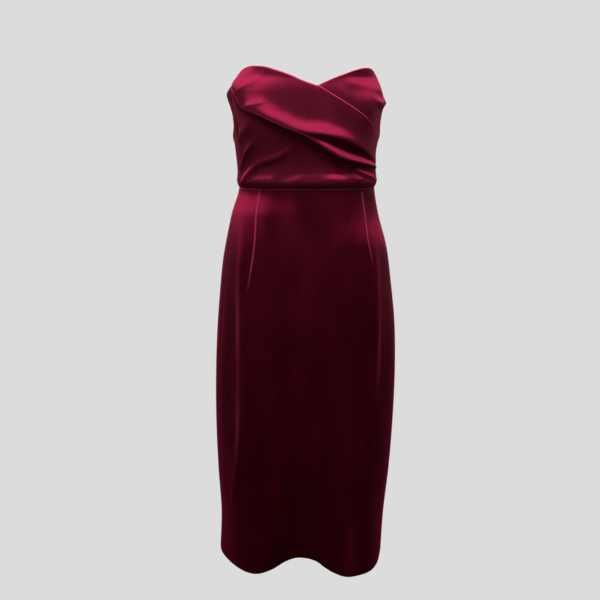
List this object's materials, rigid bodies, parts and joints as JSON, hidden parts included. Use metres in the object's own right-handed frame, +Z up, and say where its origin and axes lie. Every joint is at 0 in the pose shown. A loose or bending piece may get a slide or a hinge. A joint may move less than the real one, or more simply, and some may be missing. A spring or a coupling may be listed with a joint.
{
  "type": "strapless cocktail dress",
  "caption": "Strapless midi dress in velvet: sweetheart bodice with a pleated wrap front, darted column skirt and concealed zip down the centre back.",
  "frame": {"origin": "middle of the waist seam, where the wearer holds the dress up", "axes": "+Z up along the body, the front of the dress faces -Y, +X is the wearer's left"},
  "size_m": [0.3505, 0.274, 0.9392],
  "materials": {
    "velvet": "short-pile velvet with a sheen on its folds",
    "zip_tape": "matte woven tape",
    "zip_metal": "satin enamel"
  },
  "bodies": {
    "dress": {"bodice_under_wrap": "velvet", "bodice_over_wrap": "velvet", "bodice_back_left": "velvet", "bodice_back_right": "velvet", "skirt_front": "velvet", "skirt_back_left": "velvet", "skirt_back_right": "velvet", "zip_tape_left": "zip_tape", "zip_tape_right": "zip_tape", "zip_slider": "zip_metal"},
    "pull_tab": {"zip_pull": "zip_metal"}
  },
  "joints": [
    {"name": "pull_swing", "type": "hinge", "parent": "dress", "child": "pull_tab", "pos_m": [-0.00047, 0.09501, 0.146], "axis": [1, 0, 0], "range_deg": [-3, 160]}
  ]
}
